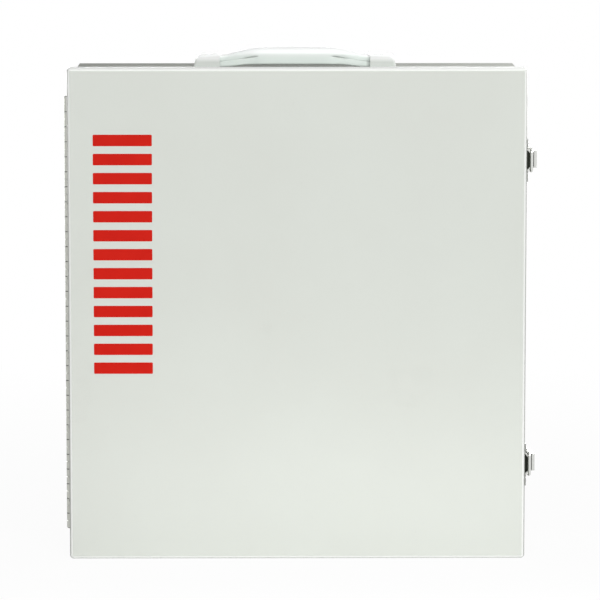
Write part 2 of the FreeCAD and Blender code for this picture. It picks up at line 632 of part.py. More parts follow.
# Draw latches: base with two ears, pivot pin, lever and wire bail on the case, keeper on the door
for name, level in LATCHES.items():
    base = new_body(f"latch_base_{name}")
    plate = sketch_in(base, "YZ_Plane", CASE_X)
    waist = "(ear_inner + latch_metal)"
    neck_y = f"({PIVOT_Y} + ear_radius + base_shoulder)"
    wide_y = f"({PIVOT_Y} + ear_radius + 2*base_shoulder)"
    nose_y = f"({PIVOT_Y} - ear_radius - base_shoulder)"
    tail_y = f"({SEAM_Y} + base_end)"
    outline(plate, [
        (nose_y, f"-{waist}"), (neck_y, f"-{waist}"), (wide_y, "-base_half"), (tail_y, "-base_half"),
        (tail_y, "base_half"), (wide_y, "base_half"), (neck_y, waist), (nose_y, waist),
    ])
    pad(base, plate, "latch_metal")
    end = number(tail_y)
    round_edges(base, "base_corner", lambda at, way: near(abs(way.x), 1) and near(at.y, end))
    for bottom in ("ear_inner", "-ear_inner - latch_metal"):
        ear = sketch_in(base, "XY_Plane", bottom)
        outline(ear, [
            (f"{CASE_X} + latch_metal/2", f"{PIVOT_Y} - ear_radius + ear_lean"),
            (PIVOT_X, f"{PIVOT_Y} - ear_radius"),
            (f"{PIVOT_X} + ear_radius", f"{PIVOT_Y} - ear_radius"),
            (f"{PIVOT_X} + ear_radius", f"{PIVOT_Y} + ear_radius"),
            (PIVOT_X, f"{PIVOT_Y} + ear_radius"),
            (f"{CASE_X} + latch_metal/2", f"{PIVOT_Y} + ear_radius + ear_lean"),
        ])
        pad(base, ear, "latch_metal")
    top = number(f"{PIVOT_X} + ear_radius")
    round_edges(base, "ear_radius*0.92", lambda at, way: near(abs(way.z), 1) and near(at.x, top))
    rest = sketch_in(base, "XZ_Plane", f"-({PIVOT_Y} + rest_setback)")
    fall = "(lever_fall*(rest_setback + latch_metal + nose_run)/(lever_end + nose_run))"
    rectangle(rest, f"{CASE_X} + latch_metal/2", f"{CASE_X} + lever_web - latch_metal - slot_fit - {fall}",
              "slot_fit - ear_inner", "ear_inner - slot_fit")
    pad(base, rest, "latch_metal")
    holes(base, "XY_Plane", "0", [(PIVOT_X, PIVOT_Y)], "pivot_radius + running_fit", "4*lever_half")
    holes(base, "YZ_Plane", CASE_X, [(BASE_RIVET_Y, f"{side}*{BASE_RIVET_Z}") for side in (-1, 1)],
          RIVET_HOLE, THROUGH)
    base.setExpression("Placement.Base.z", cells(level))

    pivot = doc.addObject("Part::Cylinder", f"latch_pin_{name}")
    pivot.Label = f"latch_pin_{name}"
    pivot.setExpression("Radius", cells("pivot_radius"))
    pivot.setExpression("Height", cells("2*lever_half"))
    pivot.setExpression("Placement.Base.x", cells(PIVOT_X))
    pivot.setExpression("Placement.Base.y", cells(PIVOT_Y))
    pivot.setExpression("Placement.Base.z", cells(f"{level} - lever_half"))

    lever = new_body(f"latch_lever_{name}")
    web, tail = f"({CASE_X} + lever_web)", f"({CASE_X} + lever_web - lever_fall)"
    front_y, tip_y = f"({PIVOT_Y} - nose_run)", f"({PIVOT_Y} + lever_end)"
    link_low = f"({LINK_X} - wire_radius - cheek_edge)"
    side_view = sketch_in(lever, "XY_Plane")
    outline(side_view, [
        (f"{PIVOT_X} - ear_radius", f"{PIVOT_Y} - ear_radius"),
        (f"{web} - nose_lip", front_y),
        (web, front_y),
        (tail, tip_y),
        (f"{CASE_X} + lever_floor", tip_y),
        (f"{CASE_X} + lever_floor", f"{LINK_Y} + cheek_tail"),
        (link_low, f"{LINK_Y} + wire_radius + cheek_edge"),
        (link_low, f"{LINK_Y} - wire_radius - cheek_edge"),
    ])
    pad(lever, side_view, "2*lever_half", both_ways=True)
    room = sketch_in(lever, "XY_Plane")
    outline(room, [
        (CASE_X, f"{front_y} - latch_metal"),
        (f"{web} - latch_metal", f"{front_y} - latch_metal"),
        (f"{tail} - latch_metal", f"{tip_y} + latch_metal"),
        (CASE_X, f"{tip_y} + latch_metal"),
    ])
    cut(lever, room, "2*(lever_half - latch_metal)")
    nose = sketch_in(lever, "XY_Plane")
    rectangle(nose, f"{web} - nose_lip", f"{web} - latch_metal/2", front_y, f"{front_y} + latch_metal")
    pad(lever, nose, "2*lever_half", both_ways=True)
    lip = sketch_in(lever, "XY_Plane")
    outline(lip, [
        (f"{tail} - latch_metal/2", f"{tip_y} - lip_run"),
        (f"{tail} + lip_rise", tip_y),
        (f"{tail} + lip_rise - 0.7*latch_metal", f"{tip_y} + 0.7*latch_metal"),
        (f"{tail} - latch_metal/2", f"{tip_y} - 0.4*latch_metal"),
    ])
    pad(lever, lip, "2*(lever_half - latch_metal)", both_ways=True)
    crown, front = number(web), number(front_y)
    round_edges(lever, "nose_round", lambda at, way: near(at.x, crown) and near(at.y, front))
    holes(lever, "XY_Plane", "0", [(PIVOT_X, PIVOT_Y)], "pivot_radius + running_fit", "4*lever_half")
    holes(lever, "XY_Plane", "0", [(LINK_X, LINK_Y)], "wire_radius + wire_fit", "4*lever_half")
    lever.setExpression("Placement.Base.z", cells(level))

    bail = new_body(f"latch_bail_{name}")
    length = f"sqrt(({BAR_X} - {LINK_X})^2 + ({BAR_Y} - {LINK_Y})^2)"
    stub = "(lever_half - 1.5*latch_metal)"
    path = sketch_in(bail, "XY_Plane")
    far_x, far_y, near_y = f"({length} - bail_bend)", "(bail_side - bail_bend)", f"(bail_side - {LINK_BEND})"
    runs = [
        run(path, ("0", stub), ("0", near_y)),
        run(path, (LINK_BEND, "bail_side"), (far_x, "bail_side")),
        run(path, (length, far_y), (length, f"-{far_y}")),
        run(path, (far_x, "-bail_side"), (LINK_BEND, "-bail_side")),
        run(path, ("0", f"-{near_y}"), ("0", f"-{stub}")),
    ]
    turn = math.pi / 2
    arc_between(path, runs[0], runs[1], point(LINK_BEND, near_y), LINK_BEND, turn, 2 * turn, True)
    arc_between(path, runs[1], runs[2], point(far_x, far_y), "bail_bend", 0, turn, True)
    arc_between(path, runs[2], runs[3], point(far_x, f"-{far_y}"), "bail_bend", -turn, 0, True)
    arc_between(path, runs[3], runs[4], point(LINK_BEND, f"-{near_y}"), LINK_BEND, 2 * turn, 3 * turn, True)
    wire = sketch_in(bail, "XZ_Plane", f"-{stub}")
    circle(wire, "0", "0", "wire_radius")
    doc.recompute()
    pipe = bail.newObject("PartDesign::AdditivePipe", bail.Name + "_pipe")
    pipe.Profile = wire
    pipe.Spine = (path, [])
    doc.recompute()
    along = Vector(number(BAR_X) - number(LINK_X), number(BAR_Y) - number(LINK_Y), 0).normalize()
    up = Vector(0, 0, 1)
    turned = Rotation(along, up, along.cross(up), "XYZ")
    bail.Placement = Placement(Vector(number(LINK_X), number(LINK_Y), number(level)), turned)

    keeper = new_body(f"keeper_{name}")
    top = "(door_width/2 + keeper_rise)"
    foot = "(door_width/2 + keeper_metal)"
    under = "(door_width/2)"
    slant = "(keeper_metal*0.45)"
    hat = sketch_in(keeper, "XZ_Plane", f"-{KEEPER_Y}")
    knee = "(door_width/2 + keeper_knee)"
    outline(hat, [
        (foot, "keeper_half"), (foot, "keeper_spread"), (knee, "keeper_knee_half"), (top, "keeper_crest"),
        (top, "-keeper_crest"), (knee, "-keeper_knee_half"), (foot, "-keeper_spread"), (foot, "-keeper_half"),
        (under, "-keeper_half"), (under, f"{slant} - keeper_spread"),
        (f"{knee} - keeper_metal", f"{slant} - keeper_knee_half"),
        (f"{top} - keeper_metal", f"{slant} - keeper_crest"),
        (f"{top} - keeper_metal", f"keeper_crest - {slant}"),
        (f"{knee} - keeper_metal", f"keeper_knee_half - {slant}"),
        (under, f"keeper_spread - {slant}"), (under, "keeper_half"),
    ])
    pad(keeper, hat, "keeper_length")
    crest, bend = number(top), number(knee)
    round_edges(keeper, "keeper_bend", lambda at, way: near(abs(way.y), 1)
                and (near(at.x, crest) or near(at.x, bend)))
    notch = sketch_in(keeper, "XY_Plane")
    rectangle(notch, f"{under} - keeper_metal", f"{top} + keeper_metal",
              f"{KEEPER_Y} - keeper_length - keeper_metal", CATCH_Y)
    cut(keeper, notch, "2*keeper_spread")
    closing = sketch_in(keeper, "XZ_Plane", f"-{KEEPER_Y}")
    outline(closing, [
        (under, "keeper_spread"), (f"{knee} - keeper_metal/2", "keeper_knee_half"),
        (f"{top} - keeper_metal/2", f"keeper_crest - {slant}"),
        (f"{top} - keeper_metal/2", f"{slant} - keeper_crest"),
        (f"{knee} - keeper_metal/2", "-keeper_knee_half"), (under, "-keeper_spread"),
    ])
    pad(keeper, closing, "keeper_metal")
    spots = [(KEEPER_RIVET_Y, f"{side}*{KEEPER_RIVET_Z}") for side in (-1, 1)]
    holes(keeper, "YZ_Plane", "door_width/2", spots, RIVET_HOLE, THROUGH)
    keeper.setExpression("Placement.Base.z", cells(level))

# Strap handle: a cap at each end with a peg, a slotted tongue that slides on it, necks and a grip
for name, side in (("left", "-1"), ("right", "1")):
    cap = new_body(f"handle_cap_{name}")
    profile = sketch_in(cap, "XZ_Plane", f"-{HANDLE_Y}")
    outline(profile, [
        (f"{side}*cap_mouth", WRAP_Z),
        (f"{side}*cap_end", WRAP_Z),
        (f"{side}*(cap_end - cap_draft)", f"{WRAP_Z} + cap_height - cap_slope"),
        (f"{side}*cap_mouth", f"{WRAP_Z} + cap_height"),
    ])
    pad(cap, profile, "cap_width", both_ways=True)
    end_x = number("cap_end - cap_draft")
    round_edges(cap, "cap_round", lambda at, way: near(abs(way.y), 1) and near(abs(at.x), end_x))
    flank = number("cap_width/2")
    middle = number(HANDLE_Y)
    mouth_x = number("cap_mouth")
    shoulder = number(f"{WRAP_Z} + cap_height - 1.3*cap_slope")
    round_edges(cap, "cap_edge", lambda at, way: near(abs(at.y - middle), flank) and at.z > shoulder
                and not near(abs(at.x), mouth_x))
    cavity = sketch_in(cap, "YZ_Plane", f"{side}*cap_mouth")
    rectangle(cavity, f"{HANDLE_Y} - cap_cavity/2", f"{HANDLE_Y} + cap_cavity/2",
              f"{WRAP_Z} - metal", f"{WRAP_Z} + tongue_height + 2*tongue_thickness")
    cut(cap, cavity, "2*(cap_end - cap_mouth - 1.5*cap_wall)")
    mouth = sketch_in(cap, "YZ_Plane", f"{side}*cap_mouth")
    rectangle(mouth, f"{HANDLE_Y} - cap_cavity/2", f"{HANDLE_Y} + cap_cavity/2",
              f"{WRAP_Z} - metal", f"{WRAP_Z} + cap_height - cap_wall")
    cut(cap, mouth, "6*neck_insert")
    peg = sketch_in(cap, "XY_Plane", WRAP_Z)
    circle(peg, f"{side}*peg_x", HANDLE_Y, "peg_radius")
    pad(cap, peg, "cap_height - cap_wall/2")
    drilled = sketch_in(cap, "XY_Plane", WRAP_Z)
    for way in (-1, 1):
        circle(drilled, f"{side}*cap_screw_x", f"{HANDLE_Y} + {way}*cap_screw_y", "screw_radius + running_fit")
    cut(cap, drilled, "2*(screw_length - plate_thickness - metal + screw_end_gap)")
    cap.setExpression("Placement.Base.x", cells("handle_shift"))

    tongue = new_body(f"handle_tongue_{name}")
    flat = sketch_in(tongue, "XY_Plane", f"{WRAP_Z} + tongue_height")
    slot_in = "(peg_x - peg_radius - slot_fit)"
    slot_out = "(peg_x + peg_radius + slot_fit + tongue_travel)"
    rectangle(flat, f"{side}*(cap_mouth + neck_insert)", f"{side}*({slot_out} + tongue_end)",
              f"{HANDLE_Y} - tongue_width/2", f"{HANDLE_Y} + tongue_width/2")
    pad(tongue, flat, "tongue_thickness")
    slot = sketch_in(tongue, "XY_Plane", f"{WRAP_Z} + tongue_height")
    rectangle(slot, f"{side}*{slot_in}", f"{side}*{slot_out}",
              f"{HANDLE_Y} - peg_radius - slot_fit", f"{HANDLE_Y} + peg_radius + slot_fit")
    cut(tongue, slot, "4*tongue_thickness")
    reach = number("peg_radius + slot_fit")
    round_edges(tongue, "peg_radius*0.9 + slot_fit", lambda at, way: near(abs(way.z), 1)
                and near(abs(at.y - middle), reach))
    tongue.setExpression("Placement.Base.x", cells("handle_shift"))

    neck = new_body(f"handle_neck_{name}")
    sections = []
    for place, width, low, high, corner in (
        ("grip_end", "grip_end_width", "grip_end_low", "grip_end_top", "grip_end_round"),
        ("neck_mid", "(grip_end_width + neck_width)/2", "neck_mid_low", "neck_mid_top", "neck_mid_round"),
        ("(cap_mouth - neck_straight)", "neck_width", "neck_low", "neck_top", "neck_round"),
        ("(cap_mouth + neck_insert)", "neck_width", "neck_low", "neck_top", "neck_round"),
    ):
        section = sketch_in(neck, "YZ_Plane", f"{side}*{place}")
        section.setExpression("AttachmentOffset.Base.x", cells(HANDLE_Y))
        section.setExpression("AttachmentOffset.Base.y", cells(WRAP_Z))
        rounded_box(section, f"{width}/2", low, high, corner)
        sections.append(section)
    doc.recompute()
    loft = neck.newObject("PartDesign::AdditiveLoft", neck.Name + "_loft")
    loft.Profile = sections[0]
    loft.Sections = sections[1:]
    loft.Ruled = False
    doc.recompute()
    neck.setExpression("Placement.Base.x", cells("handle_shift"))

grip = new_body("handle_grip")
sections = []
for place, width, low, high, corner in (
    ("-grip_end", "grip_end_width", "grip_end_low", "grip_end_top", "grip_end_round"),
    ("-grip_full", "grip_width", "grip_low", "grip_top", "grip_round"),
    ("grip_full", "grip_width", "grip_low", "grip_top", "grip_round"),
    ("grip_end", "grip_end_width", "grip_end_low", "grip_end_top", "grip_end_round"),
):
    section = sketch_in(grip, "YZ_Plane", place)
    section.setExpression("AttachmentOffset.Base.x", cells(HANDLE_Y))
    section.setExpression("AttachmentOffset.Base.y", cells(WRAP_Z))
    rounded_box(section, f"{width}/2", low, high, corner)
    sections.append(section)
doc.recompute()
loft = grip.newObject("PartDesign::AdditiveLoft", "handle_grip_loft")
loft.Profile = sections[0]
loft.Sections = sections[1:]
loft.Ruled = True
doc.recompute()
channel = sketch_in(grip, "YZ_Plane")
rectangle(channel, f"{HANDLE_Y} - tongue_width/2", f"{HANDLE_Y} + tongue_width/2",
          f"{WRAP_Z} + tongue_height + core_rise", f"{WRAP_Z} + tongue_height + core_rise + core_thickness")
cut(grip, channel, "4*grip_end")
grip.setExpression("Placement.Base.x", cells("handle_shift"))

core = doc.addObject("Part::Box", "handle_core_strip")
core.Label = "handle_core_strip"
core.setExpression("Length", cells("2*grip_end"))
core.setExpression("Width", cells("tongue_width"))
core.setExpression("Height", cells("core_thickness"))
core.setExpression("Placement.Base.x", cells("handle_shift - grip_end"))
core.setExpression("Placement.Base.y", cells(f"{HANDLE_Y} - tongue_width/2"))
core.setExpression("Placement.Base.z", cells(f"{WRAP_Z} + tongue_height + core_rise"))

# Screws and backing plates that hold the caps from inside
under_top = number(f"{WRAP_Z} - metal")
plate_low = under_top - number("plate_thickness")
plates = []
screws = []
for side in (-1, 1):
    x = number("handle_shift") + side * number("cap_screw_x")
    y = number(HANDLE_Y)
    wide, deep = number("plate_width"), number("cap_width + 2*plate_margin")
    blank = Part.makeBox(wide, deep, number("plate_thickness"), Vector(x - wide / 2, y - deep / 2, plate_low))
    for way in (-1, 1):
        place = Vector(x, y + way * number("cap_screw_y"), plate_low)
        past = Vector(0, 0, number("plate_thickness"))
        opening = Part.makeCylinder(number("screw_radius + slot_fit"), 3 * past.z, place - past)
        blank = blank.cut(opening)
        head_low = place - Vector(0, 0, number("screw_head"))
        shank = Part.makeCylinder(number("screw_radius"), number("screw_head/2 + screw_length"),
                                  place - Vector(0, 0, number("screw_head/2")))
        head = Part.makeCylinder(number("screw_head_radius"), number("screw_head"), head_low)
        rim_edge = [edge for edge in head.Edges if near(edge.CenterOfMass.z, head_low.z)
                    and isinstance(edge.Curve, Part.Circle)]
        head = head.makeFillet(number("screw_head") * 0.6, rim_edge)
        screws.append(head.fuse(shank).removeSplitter())
    plates.append(blank)
solids("handle_backing_plates", plates)
solids("handle_screws", screws)

# Rivets
two_sheets = number("metal") * 2
head_rise = number("rivet_head")
door_face = number("door_width/2")
case_face = number(CASE_X)
minus_x, plus_x = Vector(-1, 0, 0), Vector(1, 0, 0)
solids("hinge_door_rivets", [
    rivet(Vector(-door_face, number(y), number(z)), minus_x, number("metal + leaf"), head_rise)
    for y, z in HINGE_DOOR_HOLES])
solids("hinge_case_rivets", [
    rivet(Vector(-case_face - number("leaf"), number(y), number(z)), minus_x, number("metal + leaf"), head_rise)
    for y, z in HINGE_CASE_HOLES])
solids("latch_base_rivets", [
    rivet(Vector(case_face + number("latch_metal"), number(y), number(z)), plus_x,
          number("metal + latch_metal"), head_rise)
    for y, z in BASE_HOLES])
solids("keeper_rivets", [
    rivet(Vector(door_face + number("keeper_metal"), number(y), number(z)), plus_x,
          number("metal + keeper_metal"), number("keeper_rivet_head"))
    for y, z in KEEPER_HOLES])
solids("shelf_rivets", [
    rivet(Vector(way.x * case_face, number(y), number(z)), way, two_sheets, head_rise)
    for way in (minus_x, plus_x) for y, z in SHELF_HOLES])

# Every feature must have worked before anything is written
doc.recompute()
for item in doc.Objects:
    if "Invalid" in item.State or "Error" in item.State:
        raise RuntimeError(f"{item.Label} failed: {item.State}")
os.makedirs("parts", exist_ok=True)
written = [item for item in doc.Objects if item.TypeId in
           ("PartDesign::Body", "Part::Cylinder", "Part::Box", "Part::Feature")]
for item in written:
    if item.Shape.isNull() or not item.Shape.isValid():
        raise RuntimeError(f"{item.Label} has no valid shape")
    item.Shape.exportStep(f"parts/{item.Label}.step")
    box = item.Shape.BoundBox
    lengths = f"{box.XLength:.1f} x {box.YLength:.1f} x {box.ZLength:.1f}"
    print(f"{item.Label}: {len(item.Shape.Solids)} solids, {lengths}")
print(len(written), "pieces written")
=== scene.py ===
# %% [markdown]
# A first aid cabinet of painted sheet steel, seen almost straight from the front. The solids come from
# the packed model, which fixes every size and every joint. This script gives them their finishes, adds
# the pieces that a solid shows too stiffly, and sets up the studio.

# %% Load the packed model
import json
import math

import bmesh
import bpy
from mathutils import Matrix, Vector


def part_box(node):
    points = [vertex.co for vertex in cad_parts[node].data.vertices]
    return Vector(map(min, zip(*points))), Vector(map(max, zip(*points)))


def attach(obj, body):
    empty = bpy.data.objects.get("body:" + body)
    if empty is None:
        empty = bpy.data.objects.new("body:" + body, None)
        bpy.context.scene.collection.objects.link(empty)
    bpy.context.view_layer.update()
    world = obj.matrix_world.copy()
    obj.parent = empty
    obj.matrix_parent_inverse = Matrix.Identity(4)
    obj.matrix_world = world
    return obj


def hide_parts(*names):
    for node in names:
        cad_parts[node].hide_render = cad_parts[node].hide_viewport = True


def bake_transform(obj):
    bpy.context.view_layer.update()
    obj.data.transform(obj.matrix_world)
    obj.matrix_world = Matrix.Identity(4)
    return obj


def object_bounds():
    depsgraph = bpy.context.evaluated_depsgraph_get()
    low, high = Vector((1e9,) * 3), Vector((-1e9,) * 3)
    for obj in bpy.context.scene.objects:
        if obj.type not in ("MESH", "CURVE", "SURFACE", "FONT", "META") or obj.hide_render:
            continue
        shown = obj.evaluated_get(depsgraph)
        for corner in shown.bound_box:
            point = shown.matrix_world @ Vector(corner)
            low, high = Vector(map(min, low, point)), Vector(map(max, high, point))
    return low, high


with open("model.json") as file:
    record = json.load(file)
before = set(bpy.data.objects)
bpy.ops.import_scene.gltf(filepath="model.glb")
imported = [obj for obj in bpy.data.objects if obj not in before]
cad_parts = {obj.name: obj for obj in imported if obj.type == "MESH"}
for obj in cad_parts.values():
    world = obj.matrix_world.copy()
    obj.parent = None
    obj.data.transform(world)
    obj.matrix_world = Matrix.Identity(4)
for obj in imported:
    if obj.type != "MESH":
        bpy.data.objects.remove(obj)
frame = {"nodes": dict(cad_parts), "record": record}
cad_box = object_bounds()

MM = 0.001
scene = bpy.context.scene
nodes = frame["nodes"]

# %% [markdown]
# The camera stands more than three metres away behind a long lens, so the sides of the door stay almost
# parallel. It looks down by about seven degrees, which is why a narrow strip of the case's top shows
# behind the door. It could be set by eye, but its place was found by fitting the door's corners, the
# hinge and the latches to the picture. The lamps stand round the object in the same way, so one helper
# puts both in their places.

# %% Camera
door_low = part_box("door_pan")[0]
CAMERA_AIM = Vector((2.195 * MM, door_low.y, 12.335 * MM))
CAMERA_DISTANCE = 3.2065
CAMERA_AZIMUTH = -0.477
CAMERA_ELEVATION = 7.369
CAMERA_LENS = 239.5
SENSOR_WIDTH = 36.0
VIEW_DEPTH = 100.0


def stand(thing, goal, azimuth, elevation, distance):
    """Puts a camera or a lamp into the scene, looking at its goal. Azimuth 0 is the front, in degrees."""
    turn, lift = math.radians(azimuth), math.radians(elevation)
    way = Vector((math.sin(turn) * math.cos(lift), -math.cos(turn) * math.cos(lift), math.sin(lift)))
    thing.location = goal + distance * way
    thing.rotation_euler = (-way).to_track_quat("-Z", "Y").to_euler()
    scene.collection.objects.link(thing)


camera_data = bpy.data.cameras.new("studio_camera")
camera_data.lens = CAMERA_LENS
camera_data.sensor_width = SENSOR_WIDTH
camera_data.clip_end = VIEW_DEPTH
camera = bpy.data.objects.new("studio_camera", camera_data)
stand(camera, CAMERA_AIM, CAMERA_AZIMUTH, CAMERA_ELEVATION, CAMERA_DISTANCE)
bpy.context.scene.camera = camera
print("camera at", [round(value, 3) for value in camera.location])

# %% [markdown]
# A finish is a tree of shader nodes, and most of that tree is arithmetic on masks and noises. Written out
# as nodes and links, the arithmetic is hard to read, so one small class stands for a socket. Adding or
# multiplying two such sockets adds the Math node, and one method adds any other kind of node.

# %% A socket that can be added and multiplied
class Wire:
    """An output socket, with Python's operators turned into Math nodes."""

    def __init__(self, socket):
        self.socket = socket
        self.tree = socket.id_data

    def node(self, kind, settings, inputs, output=0):
        """Any other node: its settings are set first, and then its sockets get their values or links."""
        made = self.tree.nodes.new(kind)
        for name, value in settings.items():
            setattr(made, name, value)
        for name, value in inputs.items():
            if isinstance(value, Wire):
                self.tree.links.new(value.socket, made.inputs[name])
            else:
                made.inputs[name].default_value = value
        return Wire(made.outputs[output])

    def maths(self, operation, first, second=0.0):
        return self.node("ShaderNodeMath", {"operation": operation}, {0: first, 1: second})

    def __add__(self, other):
        return self.maths("ADD", self, other)

    def __radd__(self, other):
        return self.maths("ADD", other, self)

    def __sub__(self, other):
        return self.maths("SUBTRACT", self, other)

    def __rsub__(self, other):
        return self.maths("SUBTRACT", other, self)

    def __mul__(self, other):
        return self.maths("MULTIPLY", self, other)

    def __rmul__(self, other):
        return self.maths("MULTIPLY", other, self)

    def __abs__(self):
        return self.maths("ABSOLUTE", self)

    def larger(self, other):
        return self.maths("MAXIMUM", self, other)

    def smaller(self, other):
        return self.maths("MINIMUM", self, other)

    def clamped(self, low, high):
        """The same value moved from low..high to 0..1, and held there."""
        return self.node("ShaderNodeMapRange", {}, {"Value": self, "From Min": low, "From Max": high})

    def above(self, edge, blur):
        """0 below an edge and 1 above it, with a soft step that reaches as far as the blur to each side."""
        return self.clamped(edge - blur, edge + blur)

    def below(self, edge, blur):
        """1 below an edge and 0 above it, with the same soft step."""
        return self.clamped(edge + blur, edge - blur)

    def noise(self, size, detail=2.0, roughness=0.5):
        """Soft noise whose lumps are about the given size in metres."""
        return self.node("ShaderNodeTexNoise", {}, {"Vector": self, "Scale": 1.0 / size, "Detail": detail,
                                                    "Roughness": roughness})

    def drift(self, size, detail=3.0):
        """The same noise, stretched so that it often reaches 0 and 1."""
        return self.noise(size, detail).clamped(0.3, 0.7)

    def stretched(self, x, y, z):
        """The same place, with each axis scaled."""
        return self.node("ShaderNodeVectorMath", {"operation": "MULTIPLY"}, {0: self, 1: (x, y, z)})

    def axes(self):
        """The three numbers of a place or a direction."""
        split = self.node("ShaderNodeSeparateXYZ", {}, {0: self})
        return [Wire(number) for number in split.socket.node.outputs]

    def tint(self, first, second):
        """A colour between two others, with this value as the share of the second."""
        return self.node("ShaderNodeMix", {"data_type": "RGBA"}, {0: self, 6: first, 7: second}, output=2)

    def relief(self, depth, strength):
        """A bumped surface direction, with this value as its height and the depth in metres."""
        return self.node("ShaderNodeBump", {}, {"Height": self, "Distance": depth, "Strength": strength})


print("methods of a wire:", sum(callable(method) for method in vars(Wire).values()))

# %% [markdown]
# Every finish starts in the same way: an empty tree, one shader, and the place on the piece as a first
# wire. A value that is the same all over the surface is set on the shader itself, and a wire is linked
# only where the surface varies.

# %% Starting a finish and feeding its shader
def grey(value):
    return (value, value, value, 1.0)


def empty_tree(owner):
    """The shader tree of a material or a world, without the nodes that Blender puts in."""
    owner.use_nodes = True
    owner.node_tree.nodes.clear()
    return owner.node_tree


def show(shader, kind):
    """Joins a shader's socket to the output node of its tree."""
    tree = shader.id_data
    tree.links.new(shader, tree.nodes.new(kind).inputs["Surface"])


def new_finish(name, **constants):
    """A material with one shader, its constant sockets, and the place on the piece as a wire."""
    material = bpy.data.materials.new(name)
    tree = empty_tree(material)
    shader = tree.nodes.new("ShaderNodeBsdfPrincipled")
    show(shader.outputs[0], "ShaderNodeOutputMaterial")
    for socket, value in constants.items():
        shader.inputs[socket.replace("_", " ")].default_value = value
    place = Wire(tree.nodes.new("ShaderNodeTexCoord").outputs["Object"])
    return material, shader, place


def feed(shader, **wires):
    """Links wires to the shader's sockets, with the socket's spaces written as underscores."""
    for socket, wire in wires.items():
        wire.tree.links.new(wire.socket, shader.inputs[socket.replace("_", " ")])


print("a middle grey is written", grey(0.5))

# %% [markdown]
# The picture has a plain white background. A white wall behind the object could give it, but it would
# stand in the way of the other views. So the sky is white where the camera or a mirroring surface sees
# it, and it lights the object at a much lower level.

# %% Sky
SKY_LIGHT = 0.14


def seen_directly(tree):
    """1 for rays from the camera and from mirroring or clear surfaces, and 0 for rays that gather light."""
    rays = tree.nodes.new("ShaderNodeLightPath").outputs
    seen = Wire(rays["Is Camera Ray"]) + Wire(rays["Is Glossy Ray"])
    return (seen + Wire(rays["Is Transmission Ray"])).clamped(0.0, 1.0)


scene.view_settings.view_transform = "Standard"
scene.world = bpy.data.worlds.new("studio_sky")
seen = seen_directly(empty_tree(scene.world))
sky_strength = seen * (1.0 - SKY_LIGHT) + SKY_LIGHT
sky = seen.node("ShaderNodeBackground", {}, {"Color": grey(1.0), "Strength": sky_strength})
show(sky.socket, "ShaderNodeOutputWorld")
print("sky:", scene.world.name, "lights at", SKY_LIGHT)

# %% [markdown]
# One wide soft lamp from the upper front does most of the work. The picture is lighter towards the door's
# lower edge, so a low strip lamp stands close in front of it. A small lamp beside the roof lights the
# case's top from the right, and a narrow beam falls on the handle. Three weak lamps behind keep the back
# and the sides readable. One bright lamp alone would be simpler, but it couldn't give these gentle
# changes over a flat door.

# %% Lamps
STUDIO_REACH = 2.8
LOW_LAMP_DROP = 0.165
BEAM_SPREAD = math.radians(4)
front = Vector((0, door_low.y, 0))
grip_low, grip_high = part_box("handle_grip")
roof_low, roof_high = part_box("case_wrap")
roof = Vector((0, (roof_low.y + roof_high.y) / 2, roof_high.z))


def soft_lamp(name, goal, azimuth, elevation, distance, width, height, level):
    """A rectangular lamp aimed at a goal. At level 1 it lights a facing white card there to full white."""
    data = bpy.data.lights.new(name, "AREA")
    data.shape = "RECTANGLE"
    data.size, data.size_y = width, height
    data.energy = level * (math.pi * distance) ** 2
    lamp = bpy.data.objects.new(name, data)
    stand(lamp, goal, azimuth, elevation, distance)
    lamp.visible_camera = False
    return lamp


soft_lamp("key_lamp", front, azimuth=9, elevation=29, distance=STUDIO_REACH,
          width=1.8, height=0.6, level=0.705)
low_goal = front - Vector((0, 0, LOW_LAMP_DROP))
low_lamp = soft_lamp("low_lamp", low_goal, azimuth=6, elevation=0, distance=0.2,
                     width=0.6, height=0.04, level=0.40)
low_lamp.visible_glossy = False
soft_lamp("side_lamp", roof, azimuth=90, elevation=24, distance=0.394,
          width=0.1, height=0.1, level=0.20)
grid_lamp = soft_lamp("grid_lamp", (grip_low + grip_high) / 2, azimuth=0, elevation=68, distance=0.7,
                      width=0.30, height=0.02, level=0.00125)
grid_lamp.data.spread = BEAM_SPREAD
fills = (("left_fill", -142, 0.25), ("right_fill", 142, 0.25), ("back_fill", 180, 0.24))
for name, azimuth, level in fills:
    soft_lamp(name, front, azimuth, elevation=3, distance=STUDIO_REACH, width=1.2, height=0.3, level=level)
print("lamps:", len(bpy.data.lights))

# %% [markdown]
# The floor is a pale card that keeps a faint shadow under the object and turns fully white away from it.
# Lit by lamps alone, a card this large would need more light, and that light would reach the object too.
# Here it shows mostly its own white to the camera and to mirrors, and a plain pale surface to the light.

# %% Floor
FLOOR_REACH = 20.0
FLOOR_GREY = 0.80
SHADOW_NEAR, SHADOW_FAR = 0.25, 1.0
NEAR_WHITE = 0.95
floor_mesh = bpy.data.meshes.new("studio_floor")
floor_edge = [(-FLOOR_REACH, -FLOOR_REACH), (FLOOR_REACH, -FLOOR_REACH),
              (FLOOR_REACH, FLOOR_REACH), (-FLOOR_REACH, FLOOR_REACH)]
floor_mesh.from_pydata([(x, y, cad_box[0].z) for x, y in floor_edge], [], [(0, 1, 2, 3)])
floor = bpy.data.objects.new("studio_floor", floor_mesh)
scene.collection.objects.link(floor)

